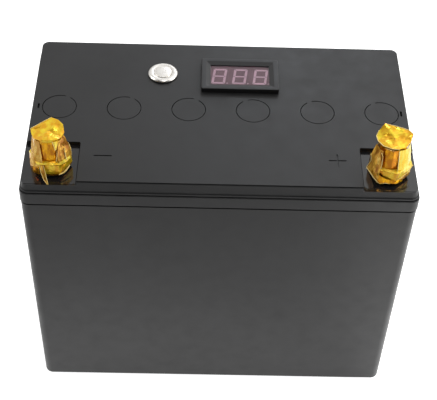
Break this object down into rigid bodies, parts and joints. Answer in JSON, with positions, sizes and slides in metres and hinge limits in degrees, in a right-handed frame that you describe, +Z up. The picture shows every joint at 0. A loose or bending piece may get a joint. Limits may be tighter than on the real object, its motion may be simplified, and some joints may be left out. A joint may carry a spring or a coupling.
{
  "type": "deep cycle battery",
  "caption": "Sealed 12 V deep cycle battery in a black plastic case, with taped terminal posts, flush vent caps, a metal push button and a panel voltmeter.",
  "frame": {"origin": "centre of the base, on the surface that the battery stands on", "axes": "+X along the length towards the positive terminal, +Y towards the back, away from the terminals, +Z up"},
  "size_m": [0.2312, 0.1304, 0.2122],
  "materials": {
    "black_abs": "satin moulded ABS with a fine grain",
    "terminal_brass": "machined",
    "amber_film": "thin clear amber polyimide film, creased",
    "black_rubber": "moulded",
    "zinc_steel": "zinc plated",
    "tinned_copper": "tin plated",
    "button_steel": "fine satin",
    "black_nylon": "moulded",
    "bezel_plastic": "satin moulded",
    "smoked_window": "tinted clear acrylic",
    "display_face": "matt face with three unlit digits",
    "circuit_board": "solder mask over glass fibre board",
    "fibre_sheet": "pressed fibre board",
    "cell_film": "heat-shrunk film over an aluminium can",
    "bar_aluminium": "rolled",
    "strap_tape": "glass-filament strapping tape",
    "grey_foam": "closed-cell foam",
    "red_silicone": "silicone insulation",
    "black_silicone": "silicone insulation",
    "white_insulation": "nylon plug and PVC insulation"
  },
  "bodies": {
    "battery": {"case_box": "black_abs", "lid": "black_abs", "vent_cap_1": "black_abs", "vent_cap_2": "black_abs", "vent_cap_3": "black_abs", "vent_cap_4": "black_abs", "vent_cap_5": "black_abs", "vent_cap_6": "black_abs", "terminal_post_negative": "terminal_brass", "terminal_tape_negative": "amber_film", "terminal_seal_negative": "black_rubber", "terminal_washer_negative": "zinc_steel", "terminal_nut_negative": "terminal_brass", "terminal_lug_negative": "tinned_copper", "terminal_post_positive": "terminal_brass", "terminal_tape_positive": "amber_film", "terminal_seal_positive": "black_rubber", "terminal_washer_positive": "zinc_steel", "terminal_nut_positive": "terminal_brass", "terminal_lug_positive": "tinned_copper", "button_bushing": "button_steel", "button_spring": "zinc_steel", "button_seal": "black_rubber", "button_nut": "zinc_steel", "button_contact_block": "black_nylon", "voltmeter_bezel": "bezel_plastic", "voltmeter_window": "smoked_window", "voltmeter_display": "display_face", "voltmeter_board": "circuit_board", "cell_1": "cell_film", "cell_2": "cell_film", "cell_3": "cell_film", "cell_4": "cell_film", "cell_separator_1": "fibre_sheet", "cell_separator_2": "fibre_sheet", "cell_separator_3": "fibre_sheet", "series_busbar_1": "bar_aluminium", "series_busbar_2": "bar_aluminium", "series_busbar_3": "bar_aluminium", "end_busbar_positive": "bar_aluminium", "end_busbar_negative": "bar_aluminium", "cell_lug_positive": "tinned_copper", "lug_bolt_positive": "zinc_steel", "cell_lug_negative": "tinned_copper", "lug_bolt_negative": "zinc_steel", "cell_strap": "strap_tape", "base_pad": "grey_foam", "end_foam_left": "grey_foam", "end_foam_right": "grey_foam", "insulation_sheet": "fibre_sheet", "bms_board": "circuit_board", "bms_heatsink": "bar_aluminium", "positive_cable": "red_silicone", "load_cable": "black_silicone", "cell_cable": "black_silicone", "meter_button_wire": "red_silicone", "button_positive_wire": "red_silicone", "meter_negative_wire": "black_silicone", "balance_harness": "white_insulation"},
    "button": {"button_cap": "button_steel"}
  },
  "joints": [
    {"name": "button_press", "type": "slide", "parent": "battery", "child": "button", "axis": [0, 0, -1], "range_m": [0, 0.002], "stiffness_N_per_m": 1000, "springref_m": -0.002, "deforming": ["button_spring"]}
  ]
}
